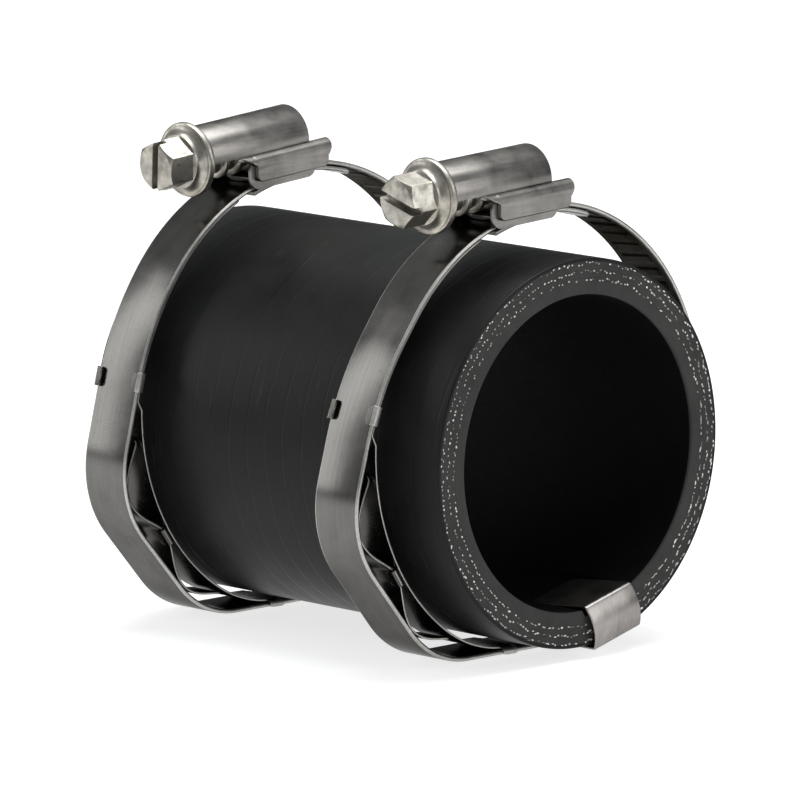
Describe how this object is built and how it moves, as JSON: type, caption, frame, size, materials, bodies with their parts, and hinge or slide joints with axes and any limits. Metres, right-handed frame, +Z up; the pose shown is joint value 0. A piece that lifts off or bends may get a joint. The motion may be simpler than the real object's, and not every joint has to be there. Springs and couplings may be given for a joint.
{
  "type": "hose coupling with clamps",
  "caption": "Short reinforced rubber hose sleeve with loose worm-drive hose clamps round it and a folded sheet clip on one rim, for joining pipe ends.",
  "frame": {"origin": "on the hose's axis, halfway along it", "axes": "+X along the hose towards the end that carries the sheet clip, +Z up when the clamps stand on their feet, screw heads towards -Y"},
  "size_m": [0.0765, 0.0748, 0.0771],
  "materials": {
    "hose_rubber": "matt cut face and bore",
    "cover_rubber": "satin, with faint wrap lines",
    "ply_yarn": "pale yarn bedded in black rubber",
    "band_steel": "bright rolled stainless strip",
    "housing_steel": "satin pressed stainless",
    "spring_steel": "smooth thin spring strip",
    "clip_steel": "satin sheet",
    "screw_plate": "warm bright plating, slightly worn"
  },
  "bodies": {
    "hose": {"hose_inner_tube": "hose_rubber", "hose_inner_ply": "ply_yarn", "hose_inner_skim": "hose_rubber", "hose_middle_ply": "ply_yarn", "hose_outer_skim": "hose_rubber", "hose_outer_ply": "ply_yarn", "hose_cover": "cover_rubber", "earthing_clip": "clip_steel"},
    "near_clamp": {"near_band": "band_steel", "near_liner": "spring_steel", "near_wave_spring": "spring_steel", "near_saddle": "housing_steel", "near_housing": "housing_steel"},
    "near_screw": {"near_worm_screw": "screw_plate"},
    "near_tail": {"near_band_tail": "band_steel"},
    "far_clamp": {"far_band": "band_steel", "far_liner": "spring_steel", "far_wave_spring": "spring_steel", "far_saddle": "housing_steel", "far_housing": "housing_steel"},
    "far_screw": {"far_worm_screw": "screw_plate"},
    "far_tail": {"far_band_tail": "band_steel"}
  },
  "joints": [
    {"name": "near_clamp_slide", "type": "slide", "parent": "hose", "child": "near_clamp", "axis": [1, 0, 0], "range_m": [-0.02, 0.009]},
    {"name": "near_screw_turn", "type": "hinge", "parent": "near_clamp", "child": "near_screw", "pos_m": [0.0235, -0.00018, 0.0402], "axis": [0, 0.9986, 0.0523], "range_deg": [0, 2520]},
    {"name": "near_tail_draw", "type": "hinge", "parent": "near_clamp", "child": "near_tail", "pos_m": [0.0235, 0.0018, 0.0024], "axis": [1, 0, 0], "range_deg": [0, 35.4]},
    {"name": "far_clamp_slide", "type": "slide", "parent": "hose", "child": "far_clamp", "axis": [1, 0, 0], "range_m": [-0.004, 0.02]},
    {"name": "far_screw_turn", "type": "hinge", "parent": "far_clamp", "child": "far_screw", "pos_m": [-0.0285, -0.00085, 0.04101], "axis": [0, 0.9965, 0.0837], "range_deg": [0, 2520]},
    {"name": "far_tail_draw", "type": "hinge", "parent": "far_clamp", "child": "far_tail", "pos_m": [-0.0285, 0.0024, 0.00235], "axis": [1, 0, 0], "range_deg": [0, 34.4]}
  ],
  "couplings": [
    {"joint": "near_tail_draw", "follows": "near_screw_turn", "ratio": 0.014002},
    {"joint": "far_tail_draw", "follows": "far_screw_turn", "ratio": 0.013622}
  ]
}
